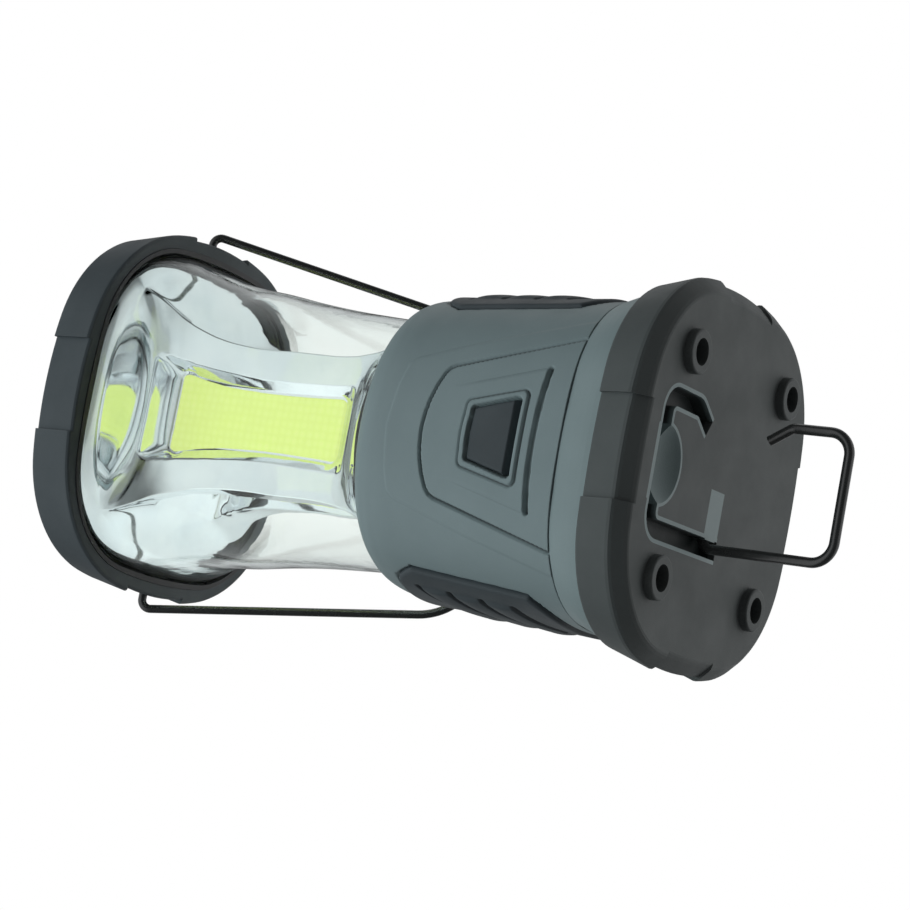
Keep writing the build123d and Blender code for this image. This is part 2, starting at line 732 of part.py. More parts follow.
with BuildPart() as reflector:
    panel_stack(REFLECTOR_LEVELS)
    panel_stack(REFLECTOR_LEVELS, shrink=1.8, mode=Mode.SUBTRACT)
    panel_stack(REFLECTOR_RIM)
    panel_stack(REFLECTOR_RIM, shrink=1.3, mode=Mode.SUBTRACT)
    add(well_frames.part)
    for name, turn in SIDES:
        base = side_plane(turn, POST_HALF + LED_BOARD).location
        extrude(to_extrude=base * WELL_PLAN, amount=30, mode=Mode.SUBTRACT)
    # Holes for the bail's ends
    with Locations(Location((0, 0, BAIL_Z), (0, 90, 0))):
        Cylinder(BAIL_WIRE + 0.5, 120, mode=Mode.SUBTRACT)
keep(reflector, "reflector")

LENS_LEVELS = (
    (NECK_Z - 3.4, (36.8, 36.9)),
    (105.0, (36.8, 36.9)),
    (112.5, (37.2, 37.3)),
    (124.5, (38.0, 38.1)),
    (138.5, (39.5, 39.6)),
    (151.0, (41.3, 41.4)),
    (160.5, (42.3, 42.6)),
    (168.0, (43.6, 45.6)),
    (175.0, (45.6, 49.6)),
    (CAP_LOW_Z + 1.0, (48.3, 54.4)),
)
LENS_WALL = 1.6
LENS_TOP_Z = CAP_LOW_Z + 2.6

with BuildPart() as lens:
    stack(*LENS_LEVELS)
    stack(
        (CAP_LOW_Z + 1.0, (50.2, 55.8)), (LENS_TOP_Z, (50.2, 55.8))
    )
    stack(*LENS_LEVELS, grow=-LENS_WALL, mode=Mode.SUBTRACT)
    stack(
        (CAP_LOW_Z + 1.0, (48.3, 54.4)),
        (LENS_TOP_Z, (48.3, 54.4)),
        grow=-LENS_WALL,
        mode=Mode.SUBTRACT,
    )
keep(lens, "lens")

with BuildPart() as lens_seal:
    # O-ring that seals the lens in the mouth of the body
    with BuildSketch(Plane.XZ):
        with Locations((36.0, NECK_Z - 4.2)):
            Circle(0.75)
    revolve(axis=Axis.Z)
keep(lens_seal, "lens_seal")


# ---------------------------------------------------------------- cap

CAP_FRAME_SIZE = (51.0, 56.2)
CAP_PLATE_Z = 190.6

with BuildPart() as cap_bumper:
    # Rubber ring with a shallow recess in the middle of each side
    stack(*CAP_LEVELS)
    add(side_blocks(CAP_LOW_Z - 1, CAP_TOP_Z + 1), mode=Mode.SUBTRACT)
    stack(*CAP_LEVELS, grow=-SIDE_STEP)
    stack(
        (CAP_LOW_Z, (50.4, 55.9)), (CAP_LOW_Z + 1.0, (50.4, 55.9)), mode=Mode.SUBTRACT
    )
    stack(
        (CAP_LOW_Z + 1.0, CAP_FRAME_SIZE), (193.4, CAP_FRAME_SIZE), mode=Mode.SUBTRACT
    )
    stack((193.4, (48.0, 52.6)), (CAP_TOP_Z, (48.0, 52.6)), mode=Mode.SUBTRACT)
    with Locations(Location((0, 0, BAIL_Z), (0, 90, 0))):
        Cylinder(BAIL_WIRE + RUN_FIT, 120, mode=Mode.SUBTRACT)
keep(cap_bumper, "cap_bumper")

with BuildPart() as lens_bezel:
    # Dark ring that frames the head of the lens
    stack((CAP_LOW_Z - 0.3, (50.3, 55.8)), (CAP_LOW_Z + 1.0, (50.3, 55.8)))
    stack(
        (CAP_LOW_Z - 0.3, (48.6, 54.6)),
        (CAP_LOW_Z + 1.0, (48.6, 54.6)),
        mode=Mode.SUBTRACT,
    )
keep(lens_bezel, "lens_bezel")

with BuildPart() as cap_frame:
    # Stiff ring and plate inside the rubber: it holds the lens, the reflector and the bail
    stack((CAP_LOW_Z + 1.0, CAP_FRAME_SIZE), (CAP_PLATE_Z + 2.8, CAP_FRAME_SIZE))
    stack(
        (CAP_LOW_Z + 1.0, (50.3, 55.9)), (LENS_TOP_Z, (50.3, 55.9)), mode=Mode.SUBTRACT
    )
    stack(
        (LENS_TOP_Z, (49.4, 54.8)), (CAP_PLATE_Z, (49.4, 54.8)), mode=Mode.SUBTRACT
    )
    with Locations(Location((0, 0, BAIL_Z), (0, 90, 0))):
        Cylinder(BAIL_WIRE + RUN_FIT, 120, mode=Mode.SUBTRACT)
    # Spacers down to the heat sink, bored for the cap screws
    with BuildSketch(Plane.XY.offset(181.0)):
        with GridLocations(24, 24, 2, 2):
            Circle(4.0)
    extrude(amount=CAP_PLATE_Z - 181.0)
    with BuildSketch(Plane.XY.offset(181.0)):
        with GridLocations(24, 24, 2, 2):
            Circle(1.5)
    extrude(amount=20, mode=Mode.SUBTRACT)
keep(cap_frame, "cap_frame")

with BuildPart() as cap_screws:
    with BuildSketch(Plane.XY.offset(178.5)):
        with GridLocations(24, 24, 2, 2):
            Circle(1.5)
    extrude(amount=CAP_PLATE_Z + 2.8 - 178.5)
    with BuildSketch(Plane.XY.offset(CAP_PLATE_Z + 2.8)):
        with GridLocations(24, 24, 2, 2):
            Circle(2.9)
    extrude(amount=1.8)
keep(cap_screws, "cap_screws")

with BuildPart() as top_cap:
    # Lid set into the rubber, over the screws
    stack((CAP_PLATE_Z + 2.8, (48.0, 52.6)), (CAP_TOP_Z - 0.6, (48.0, 52.6)))
    fillet(top_cap.faces().sort_by(Axis.Z)[-1].edges(), radius=1.2)
    stack(
        (CAP_PLATE_Z + 2.8, (45.0, 49.5)), (CAP_TOP_Z - 2.8, (45.0, 49.5)),
        mode=Mode.SUBTRACT,
    )
keep(top_cap, "top_cap")

with BuildPart() as bail_wire:
    folded = Plane(
        origin=(0, 0, BAIL_Z),
        x_dir=(1, 0, 0),
        z_dir=(0, -cos(radians(BAIL_FOLD)), -sin(radians(BAIL_FOLD))),
    )
    with BuildLine(folded) as bail_path:
        FilletPolyline(
            (-44.8, 0),
            (-BAIL_HALF, 0),
            (-BAIL_END_HALF, -BAIL_REACH),
            (BAIL_END_HALF, -BAIL_REACH),
            (BAIL_HALF, 0),
            (44.8, 0),
            radius=(2.6, 20, 20, 2.6),
        )
    with BuildSketch(Plane(origin=bail_path.line @ 0, z_dir=bail_path.line % 0)):
        Circle(BAIL_WIRE)
    sweep(path=bail_path.line)
keep(bail_wire, "bail_wire")


os.makedirs("parts", exist_ok=True)
for piece in PARTS:
    export_step(piece.part, f"parts/{piece.part.label}.step")
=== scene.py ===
import math

import bmesh
import bpy
import numpy as np
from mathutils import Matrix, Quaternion, Vector


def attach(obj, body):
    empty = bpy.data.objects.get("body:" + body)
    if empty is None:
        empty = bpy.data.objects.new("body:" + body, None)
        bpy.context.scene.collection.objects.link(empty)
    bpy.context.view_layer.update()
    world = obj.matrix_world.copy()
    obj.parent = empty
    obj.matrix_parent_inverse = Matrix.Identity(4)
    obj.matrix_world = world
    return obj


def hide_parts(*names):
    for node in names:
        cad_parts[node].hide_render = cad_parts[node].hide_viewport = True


# A camping lantern, seen from below with its top to the left, as if it floated in a
# white studio. The frame is in metres with Z up, and the lantern's front faces -Y. Shapes
# here are worked out in millimetres, and made into metres by skin().

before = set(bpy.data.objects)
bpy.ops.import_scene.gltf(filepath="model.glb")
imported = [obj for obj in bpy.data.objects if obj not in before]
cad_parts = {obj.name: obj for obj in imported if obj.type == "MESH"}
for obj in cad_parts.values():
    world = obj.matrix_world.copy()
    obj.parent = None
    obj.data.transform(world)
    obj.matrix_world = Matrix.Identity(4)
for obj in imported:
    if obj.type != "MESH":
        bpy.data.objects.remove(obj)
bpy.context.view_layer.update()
MM = 0.001
LANTERN_MIDDLE = Vector((0, 0, 0.1))


# ---------------------------------------------------------------- camera, room and lights


def make_camera(target, azimuth, elevation, roll, distance, lens):
    """Camera at the photograph's angle. Roll turns its up vector towards its right."""
    turn, rise = math.radians(azimuth), math.radians(elevation)
    back = Vector(
        (math.sin(turn) * math.cos(rise), -math.cos(turn) * math.cos(rise), math.sin(rise))
    )
    camera = bpy.data.objects.new("camera", bpy.data.cameras.new("camera"))
    bpy.context.collection.objects.link(camera)
    camera.location = Vector(target) + back * distance
    camera.rotation_mode = "QUATERNION"
    level = (-back).to_track_quat("-Z", "Y")
    camera.rotation_quaternion = level @ Quaternion((0, 0, 1), -math.radians(roll))
    camera.data.lens = lens
    camera.data.sensor_width = 36
    camera.data.clip_start, camera.data.clip_end = 0.01, 50
    bpy.context.scene.camera = camera
    return camera


def make_softbox(name, camera, right, up, ahead, size, power, colour):
    """Soft round lamp, placed in metres from the lantern's middle along the camera's axes.

    Neither the chrome nor the lens shows it: they mirror the tent of light_the_room().
    """
    light = bpy.data.lights.new(name, "AREA")
    light.shape, light.size = "DISK", size
    light.energy, light.color = power, colour
    lamp = bpy.data.objects.new(name, light)
    bpy.context.collection.objects.link(lamp)
    away = camera.rotation_quaternion @ Vector((right, up, -ahead))
    lamp.location = LANTERN_MIDDLE + away
    lamp.rotation_mode = "QUATERNION"
    lamp.rotation_quaternion = (-away).to_track_quat("-Z", "Y")
    lamp.visible_glossy = lamp.visible_transmission = False


camera = make_camera(
    target=(0, 0.004, 0.0895), azimuth=-7.5, elevation=-31.4, roll=83.3,
    distance=0.76, lens=104.56,
)
make_softbox(
    "key", camera, right=-0.85, up=0.0, ahead=-0.4,
    size=0.4, power=3.1, colour=(0.86, 1.0, 1.04),
)
make_softbox(
    "under", camera, right=0.75, up=-0.1, ahead=0.1,
    size=0.6, power=1.0, colour=(1.0, 0.98, 0.96),
)
bpy.context.scene.view_settings.view_transform = "Standard"


class Shader:
    """A node tree being built.

    node() adds one node, and links or sets its inputs by name: Base_Color is the input Base
    Color, and _0 is the first input.
    """

    def __init__(self, owner):
        owner.use_nodes = True
        self.tree = owner.node_tree
        self.tree.nodes.clear()

    def node(self, kind, settings=(), **inputs):
        made = self.tree.nodes.new("ShaderNode" + kind)
        for name, value in dict(settings).items():
            setattr(made, name, value)
        for name, value in inputs.items():
            wanted = name.replace("_", " ")
            socket = made.inputs[int(wanted) if wanted.strip().isdigit() else wanted]
            if isinstance(value, bpy.types.NodeSocket):
                self.tree.links.new(value, socket)
            else:
                socket.default_value = value
        return made


# Each patch of a tent: its aim along the camera's right, up and back, the cosines from its
# aim where it begins and where it is full, and its brightness, below 0 for a dark patch.
# The second tent is what light that has been through the lens meets.
TENT_BASE, LENS_BASE = 0.02, 0.56
TENT = (
    ((-1.0, 0.0, 0.25), 0.4, 0.85, 0.7),
    ((0.95, 0.0, -0.3), 0.45, 0.85, 0.58),
    ((0.0, 0.0, -1.0), 0.35, 0.9, 0.22),
    ((0.0, 0.75, -0.65), 0.85, 0.97, 0.5),
    ((0.0, -0.7, -0.7), 0.85, 0.97, 0.2),
)
LENS_TENT = (
    ((-1.0, 0.0, 0.25), 0.25, 0.85, 0.38),
    ((0.95, 0.0, -0.3), 0.3, 0.85, 0.32),
    ((0.0, -1.0, 0.1), 0.1, 0.7, 0.3),
    ((0.0, 1.0, 0.5), 0.7, 0.9, -0.42),
    ((0.35, 0.35, 0.9), 0.9, 0.96, -0.3),
    ((-0.3, -0.45, 0.8), 0.93, 0.97, -0.25),
)


def tent_glow(s, toward, base, patches):
    """Brightness of a tent by direction, from its base and its patches."""
    glow = s.node("Value").outputs[0]
    glow.default_value = base
    for aim, low, high, strength in patches:
        facing = s.node("VectorMath", {"operation": "DOT_PRODUCT"}, _0=toward)
        facing.inputs[1].default_value = (
            camera.rotation_quaternion @ Vector(aim).normalized()
        )
        patch = s.node(
            "MapRange", {"interpolation_type": "SMOOTHSTEP"}, Value=facing.outputs["Value"],
            From_Min=low, From_Max=high, To_Max=strength,
        )
        glow = s.node("Math", {"operation": "ADD"}, _0=glow, _1=patch.outputs[0]).outputs[0]
    return glow


def light_the_room():
    """White behind the lantern, and a tent for its light.

    The tent is bright at both ends of the lantern, dim along its sides and darkest where
    the photographer stands. Light that leaves through the lens meets a paler tent.
    """
    world = bpy.data.worlds.new("room")
    bpy.context.scene.world = world
    s = Shader(world)
    toward = s.node("TexCoord").outputs["Generated"]
    path = s.node("LightPath")
    bounced = s.node(
        "Math", {"operation": "ADD", "use_clamp": True},
        _0=path.outputs["Glossy Depth"], _1=path.outputs["Diffuse Depth"],
    )
    inside = s.node(
        "Math", {"operation": "MINIMUM"}, _0=path.outputs["Transmission Depth"], _1=1.0
    )
    plain = s.node("Background", Color=(1, 1, 1, 1), Strength=1.0)
    tent = s.node(
        "Background", Color=(0.97, 0.99, 1, 1), Strength=tent_glow(s, toward, TENT_BASE, TENT)
    )
    lens_tent = s.node(
        "Background", Color=(0.93, 0.98, 1, 1),
        Strength=tent_glow(s, toward, LENS_BASE, LENS_TENT),
    )
    met = s.node("MixShader", _0=inside.outputs[0], _1=tent.outputs[0], _2=lens_tent.outputs[0])
    both = s.node("MixShader", _0=bounced.outputs[0], _1=plain.outputs[0], _2=met.outputs[0])
    s.node("OutputWorld", Surface=both.outputs[0])


light_the_room()


# ---------------------------------------------------------------- materials


def new_look(name):
    """An empty material's node builder, with its object coordinates."""
    material = bpy.data.materials.new(name)
    s = Shader(material)
    s.material = material
    s.place = s.node("TexCoord").outputs["Object"]
    return s


def noise(s, scale, detail=3.0, roughness=0.5, distortion=0.0):
    """Noise over the piece, scale in cells per metre."""
    made = s.node(
        "TexNoise", Vector=s.place, Scale=scale, Detail=detail, Roughness=roughness,
        Distortion=distortion,
    )
    return made.outputs["Fac"]


def spread(s, value, low, high, from_low=0.3, from_high=0.7):
    """Value from one range carried to another, clamped."""
    made = s.node(
        "MapRange", Value=value, From_Min=from_low, From_Max=from_high, To_Min=low, To_Max=high
    )
    return made.outputs[0]


def blend(s, amount, first, second):
    """Colour between two, each a socket or three numbers."""
    made = s.node("Mix", {"data_type": "RGBA"})
    s.tree.links.new(amount, made.inputs[0])
    for socket, colour in ((made.inputs[6], first), (made.inputs[7], second)):
        if isinstance(colour, bpy.types.NodeSocket):
            s.tree.links.new(colour, socket)
        else:
            socket.default_value = (*colour, 1)
    return made.outputs[2]


def bumps(s, height, depth, strength=1.0, over=None):
    """Normal from a height, with depth in metres."""
    made = s.node("Bump", Height=height, Distance=depth, Strength=strength)
    if over is not None:
        s.tree.links.new(over, made.inputs["Normal"])
    return made.outputs[0]


EDGE_WIDTH = 0.0007


def edges(s):
    """1 along sharp edges, to about EDGE_WIDTH in metres, and 0 elsewhere."""
    rounded = s.node("Bevel", {"samples": 4}, Radius=EDGE_WIDTH).outputs[0]
    facing = s.node(
        "VectorMath", {"operation": "DOT_PRODUCT"},
        _0=rounded, _1=s.node("NewGeometry").outputs["Normal"],
    )
    return spread(s, facing.outputs["Value"], 1, 0, 0.86, 0.985)


def painted_groove_shade(s):
    """Painted shade in the grooves of a finely divided skin: up to 0.8 in them, 0 elsewhere."""
    return spread(s, s.node("NewGeometry").outputs["Pointiness"], 0.8, 0, 0.43, 0.492)


def finish_look(s, **inputs):
    """Ends a material in one Principled shader."""
    skin_shader = s.node("BsdfPrincipled", **inputs)
    s.node("OutputMaterial", Surface=skin_shader.outputs[0])
    return s.material


# The hook's channel, in metres. Its painted shade grows between the two heights of its foot,
# ends between those of its head, and begins between the two distances from the finger scoop.
CHANNEL_FOOT, CHANNEL_HEAD = (0.0027, 0.0042), (0.0085, 0.0095)
SCOOP_MIDDLE, SCOOP_EDGE = (-0.0012, -0.0365, 0.004), (0.0105, 0.0109)
CHANNEL_SHADE = 0.93


def painted_channel_shade(s):
    """How much painted shade darkens the walls and top of the hook's channel, and 0 on its rim
    and scoop.
    """
    z = s.node("SeparateXYZ", Vector=s.place).outputs["Z"]
    apart = s.node(
        "VectorMath", {"operation": "DISTANCE"}, _0=s.place, _1=SCOOP_MIDDLE
    ).outputs["Value"]
    shade = spread(s, z, 0, CHANNEL_SHADE, *CHANNEL_FOOT)
    for part in (spread(s, z, 1, 0, *CHANNEL_HEAD), spread(s, apart, 0, 1, *SCOOP_EDGE)):
        shade = s.node("Math", {"operation": "MULTIPLY"}, _0=shade, _1=part).outputs[0]
    return shade


# Near-black colour that painted shade blends sunk places towards.
PAINTED_SHADE_COLOUR = (0.006, 0.007, 0.007)


def moulded(name, light, dark, rough, grain, depth, wear, worn, painted_shade=None, gloss=0.42):
    """Textured moulding: cloudy colour, fine grain, and paler worn edges.

    grain is in cells per metre and depth in metres. wear is the most of the worn colour
    that an edge takes. The argument after worn paints shade: it gives how dark a sunk place is
    painted, up to 1 for the near-black shade colour.
    """
    s = new_look(name)
    cloud = spread(s, noise(s, 45, 4, 0.6), 0, 1)
    speck = spread(s, noise(s, 1800, 2), 0, 0.35, 0.4, 0.75)
    colour = blend(s, cloud, dark, light)
    colour = blend(s, speck, colour, dark)
    rub = s.node(
        "Math", {"operation": "MULTIPLY"}, _0=edges(s), _1=spread(s, noise(s, 160, 3), 0, wear)
    ).outputs[0]
    colour = blend(s, rub, colour, worn)
    # Painted shade: sunk places are blended towards near-black.
    if painted_shade is not None:
        colour = blend(s, painted_shade(s), colour, PAINTED_SHADE_COLOUR)
    roughness = spread(s, noise(s, 70, 5, 0.65), rough - 0.06, rough + 0.07)
    normal = bumps(s, noise(s, grain, 2, 0.55), depth, 0.6)
    return finish_look(
        s, Base_Color=colour, Roughness=roughness, Normal=normal, Specular_IOR_Level=gloss
    )


def metal(name, light, dark, rough, stretch, depth, coat=0.0):
    """Metal with fine lines or grain and cloudy polish.

    stretch scales the grain along each axis: a small number draws it out into lines.
    """
    s = new_look(name)
    lines = s.node("Mapping", Vector=s.place, Scale=stretch)
    grain = s.node("TexNoise", Vector=lines.outputs[0], Scale=900.0, Detail=3.0).outputs["Fac"]
    colour = blend(s, spread(s, grain, 0, 1), dark, light)
    polish = spread(s, noise(s, 120, 4), rough - 0.05, rough + 0.08)
    normal = bumps(s, grain, depth, 0.5)
    return finish_look(
        s, Base_Color=colour, Metallic=1.0, Roughness=polish, Normal=normal, Coat_Weight=coat
    )


def chrome(name):
    """Metallised plastic: near mirror, with faint ripples from the mould and some haze."""
    s = new_look(name)
    haze = noise(s, 60, 4, 0.6)
    colour = blend(s, spread(s, haze, 0, 1), (0.80, 0.84, 0.87), (0.90, 0.92, 0.93))
    fine = spread(s, noise(s, 500, 3), 0.035, 0.085)
    ripple = bumps(s, noise(s, 55, 1.5), 0.0005, 0.35)
    return finish_look(s, Base_Color=colour, Metallic=1.0, Roughness=fine, Normal=ripple)


def clear_plastic(name):
    """Polished polycarbonate, with a faint orange peel. Lamps shine through it."""
    s = new_look(name)
    peel = bumps(s, noise(s, 90, 2), 0.0002, 0.3)
    smear = spread(s, noise(s, 35, 5, 0.6), 0.01, 0.05)
    cloud = spread(s, noise(s, 30, 2), 0, 1)
    tint = blend(s, cloud, (0.945, 0.985, 0.96), (0.965, 0.995, 0.975))
    glass = s.node(
        "BsdfPrincipled", Base_Color=tint, Roughness=smear, Normal=peel,
        Transmission_Weight=1.0, IOR=1.45,
    )
    through = s.node("BsdfTransparent", Color=(0.93, 0.96, 0.95, 1))
    lamp_ray = s.node("LightPath").outputs["Is Shadow Ray"]
    both = s.node("MixShader", _0=lamp_ray, _1=glass.outputs[0], _2=through.outputs[0])
    s.node("OutputMaterial", Surface=both.outputs[0])
    return s.material


def phosphor(name):
    """Phosphor gel with a painted glow: chips show as faint paler dots under a slightly uneven
    skin.

    Its base colour is under half of its painted glow, so that the lamps add little to it: the
    glow, not the lamps, makes it evenly bright.
    """
    s = new_look(name)
    chips = s.node(
        "TexVoronoi", Vector=s.place, Scale=420.0, Randomness=0.15
    ).outputs["Distance"]
    dots = spread(s, chips, 0.5, 0, 0.1, 0.6)
    cloud = spread(s, noise(s, 90, 3), 0, 0.6)
    colour = blend(s, cloud, (0.60, 0.72, 0.19), (0.65, 0.77, 0.23))
    colour = blend(s, dots, colour, (0.70, 0.82, 0.30))
    gel = bumps(s, noise(s, 260, 3), 0.0003, 0.4)
    # Painted glow: the gel's brightness comes from emission, not from the lamps.
    unlit = blend(s, spread(s, cloud, 0.55, 0.65, 0, 0.6), colour, (0.0, 0.0, 0.0))
    return finish_look(
        s, Base_Color=unlit, Emission_Color=colour, Emission_Strength=0.95, Normal=gel,
        Roughness=spread(s, noise(s, 140, 3), 0.5, 0.7), Specular_IOR_Level=0.2,
    )


LOOKS = {
    # Painted shade darkens the body's grooves.
    "body_grey": moulded(
        "body_plastic", (0.205, 0.262, 0.270), (0.185, 0.238, 0.246), 0.48, 2600, 0.00006,
        0.35, (0.28, 0.34, 0.35), painted_groove_shade,
    ),
    # Painted shade darkens the hook's channel in the trim.
    "trim_grey": moulded(
        "trim_plastic", (0.205, 0.262, 0.268), (0.185, 0.238, 0.244), 0.44, 2600, 0.00005,
        0.35, (0.28, 0.34, 0.35), painted_channel_shade,
    ),
    "black_rubber": moulded(
        "soft_rubber", (0.052, 0.065, 0.072), (0.043, 0.054, 0.060), 0.55, 3200, 0.00005,
        0.4, (0.09, 0.105, 0.112),
    ),
    "base_rubber": moulded(
        "base_rubber_skin", (0.070, 0.080, 0.080), (0.060, 0.069, 0.069), 0.55, 3200, 0.00005,
        0.4, (0.1, 0.112, 0.112),
    ),
    "seal_rubber": moulded(
        "nitrile", (0.02, 0.02, 0.02), (0.012, 0.012, 0.012), 0.5, 2000, 0.00003,
        0.3, (0.04, 0.04, 0.04),
    ),
    "inner_black": moulded(
        "inner_plastic", (0.04, 0.04, 0.044), (0.03, 0.03, 0.033), 0.5, 2400, 0.00005,
        0.4, (0.08, 0.08, 0.085),
    ),
    "switch_black": moulded(
        "switch_plastic", (0.02, 0.02, 0.021), (0.014, 0.014, 0.015), 0.32, 2400, 0.00003,
        0.4, (0.05, 0.05, 0.05),
    ),
    "board_green": moulded(
        "solder_mask_green", (0.02, 0.12, 0.055), (0.012, 0.085, 0.035), 0.3, 1400, 0.00004,
        0.4, (0.3, 0.25, 0.1),
    ),
    "led_board_white": moulded(
        "solder_mask_white", (0.78, 0.79, 0.77), (0.70, 0.71, 0.69), 0.35, 1400, 0.00003,
        0.4, (0.6, 0.6, 0.58),
    ),
    "wire_black": moulded(
        "powder_coat", (0.016, 0.018, 0.018), (0.012, 0.013, 0.013), 0.26, 420, 0.00004,
        0.2, (0.03, 0.03, 0.03), gloss=1.0,
    ),
    "reflector_chrome": chrome("metallised"),
    "clear_lens": clear_plastic("polycarbonate"),
    "led_yellow": phosphor("phosphor_gel"),
    "post_aluminium": metal(
        "extrusion", (0.75, 0.76, 0.77), (0.6, 0.61, 0.62), 0.35, (1, 1, 0.03), 0.00003
    ),
    "screw_steel": metal(
        "zinc_plate", (0.62, 0.63, 0.64), (0.45, 0.46, 0.47), 0.3, (1, 1, 1), 0.00003
    ),
    "contact_nickel": metal(
        "nickel_plate", (0.72, 0.70, 0.64), (0.55, 0.53, 0.48), 0.28, (1, 0.08, 1), 0.00003
    ),
    "cell_jacket": metal(
        "cell_can", (0.12, 0.13, 0.15), (0.07, 0.08, 0.1), 0.3, (1, 1, 1), 0.00002, 0.6
    ),
}

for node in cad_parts.values():
    for holder in node.material_slots:
        holder.material = LOOKS[holder.material.name.split(".")[0]]


# ---------------------------------------------------------------- shape helpers


def reach(angle, side, corner):
    """Distance from the axis to a plan section with bulging sides and round corners."""
    return (side + corner) / 2 + (side - corner) / 2 * np.cos(4 * angle)


def through(z, levels):
    """Values read at heights z from smooth curves through rows of (height, values...)."""
    known = np.array(levels, float)
    at, values = known[:, 0], known[:, 1:]
    slope = np.gradient(values, at, axis=0)
    low = np.clip(np.searchsorted(at, z) - 1, 0, len(at) - 2)
    gap = (at[low + 1] - at[low])[:, None]
    t = np.clip((z - at[low])[:, None] / gap, 0, 1)
    start, stop = values[low], values[low + 1]
    bend = (2 * t**3 - 3 * t**2 + 1) * start + (3 * t**2 - 2 * t**3) * stop
    return bend + gap * ((t**3 - 2 * t**2 + t) * slope[low] + (t**3 - t**2) * slope[low + 1])


def rise(value, at, width):
    """0 to 1 as value passes at, smoothly over width."""
    t = np.clip((value - at) / width + 0.5, 0, 1)
    return t * t * (3 - 2 * t)


def to_path(across, up, corners):
    """Distance in a plane to the nearest point of an open path."""
    best = np.full(np.shape(across), 1e9)
    for (x0, z0), (x1, z1) in zip(corners, corners[1:]):
        dx, dz = x1 - x0, z1 - z0
        t = np.clip(((across - x0) * dx + (up - z0) * dz) / (dx * dx + dz * dz), 0, 1)
        best = np.minimum(best, np.hypot(across - x0 - t * dx, up - z0 - t * dz))
    return best


def mirrored(half):
    """Closed outline from its right half, given from the bottom to the top."""
    outline = list(half) + [(-x, z) for x, z in reversed(half) if x > 0]
    return outline + outline[:1]


def to_outline(across, up, outline):
    """Distance to a closed outline, negative inside it."""
    inside = np.zeros(np.shape(across), bool)
    for (x0, z0), (x1, z1) in zip(outline, outline[1:]):
        if z0 != z1:
            crossed = (z0 > up) != (z1 > up)
            inside ^= crossed & (across < (x1 - x0) * (up - z0) / (z1 - z0) + x0)
    return np.where(inside, -1, 1) * to_path(across, up, outline)


def outward(points, wrap):
    """Unit normals of a grid of points, along rows then columns."""
    if wrap:
        along = np.roll(points, -1, 1) - np.roll(points, 1, 1)
    else:
        along = np.gradient(points, axis=1)
    normal = np.cross(along, np.gradient(points, axis=0))
    return normal / np.maximum(np.linalg.norm(normal, axis=2, keepdims=True), 1e-9)


def ring(angles, heights, sizes):
    """Grid of points round the axis: one row for each height and (side, corner) size."""
    side, corner = np.array(sizes, float).T[:, :, None]
    away = reach(angles[None, :], side, corner)
    up = np.broadcast_to(np.asarray(heights, float)[:, None], away.shape)
    return np.stack([away * np.cos(angles), away * np.sin(angles), up], axis=2)


def skin(name, points, body, slot, stands_for, wrap=True, shut=False, drop=None):
    """Smooth mesh over a grid of points in millimetres, in place of some CAD nodes.

    wrap joins the last column to the first, shut the last row to the first, and drop marks
    the points whose faces are left out.
    """
    rows, columns = points.shape[:2]
    index = np.arange(rows * columns).reshape(rows, columns)
    if wrap:
        index = np.concatenate([index, index[:, :1]], axis=1)
    if shut:
        index = np.concatenate([index, index[:1]], axis=0)
    faces = np.stack([index[:-1, :-1], index[:-1, 1:], index[1:, 1:], index[1:, :-1]], axis=2)
    faces = faces.reshape(-1, 4)
    if drop is not None:
        faces = faces[~drop[faces // columns, faces % columns].any(axis=1)]
    mesh = bpy.data.meshes.new(name)
    mesh.from_pydata((points.reshape(-1, 3) * MM).tolist(), [], faces.tolist())
    mesh.shade_smooth()
    mesh.materials.append(LOOKS[slot])
    piece = bpy.data.objects.new(name, mesh)
    bpy.context.collection.objects.link(piece)
    tidy_loose(mesh)
    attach(piece, body)
    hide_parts(*stands_for)


def tidy_loose(mesh):
    """Take out points that no face uses."""
    work = bmesh.new()
    work.from_mesh(mesh)
    loose = [point for point in work.verts if not point.link_faces]
    bmesh.ops.delete(work, geom=loose, context="VERTS")
    work.to_mesh(mesh)
    work.free()


def turns(fine_half, fine_step, coarse_step):
    """Angles round the axis: fine steps within fine_half degrees of the front, else coarse."""
    near = np.arange(-fine_half, fine_half, fine_step)
    far = np.linspace(fine_half, 360 - fine_half, int((360 - 2 * fine_half) / coarse_step) + 1)
    return np.radians(np.concatenate([near, far[:-1]]) - 90)


# ---------------------------------------------------------------- body

# LEVELS tables give plan sections from the foot up, as (height, distance from the axis to
# the middle of a side, distance to a corner).
SEAM_Z = 28.5
BODY_LEVELS = (
    (SEAM_Z, 45.5, 50.0), (47.0, 44.45, 48.5), (66.0, 43.5, 47.2), (78.0, 43.0, 46.3),
    (86.0, 42.6, 45.6), (89.6, 42.1, 44.8), (92.7, 40.9, 43.0), (94.7, 39.3, 40.6),
    (95.5, 37.9, 38.6),
)
SEAM_LAP = 0.12
HEAD_Z, SHOULDER_Z = BODY_LEVELS[-1][0], 86.0
BODY_TURNS, BODY_ROW, SHOULDER_ROWS = (57, 0.43, 1.9), 0.32, 22

# The body's inside, from the head down.
LINING_LEVELS = (
    (95.3, 37.3, 37.3), (92.5, 38.0, 38.9), (86.0, 39.8, 42.6), (66.0, 41.3, 45.0),
    (40.0, 42.9, 47.3), (30.0, 43.3, 47.8), (28.7, 43.4, 47.9),
)

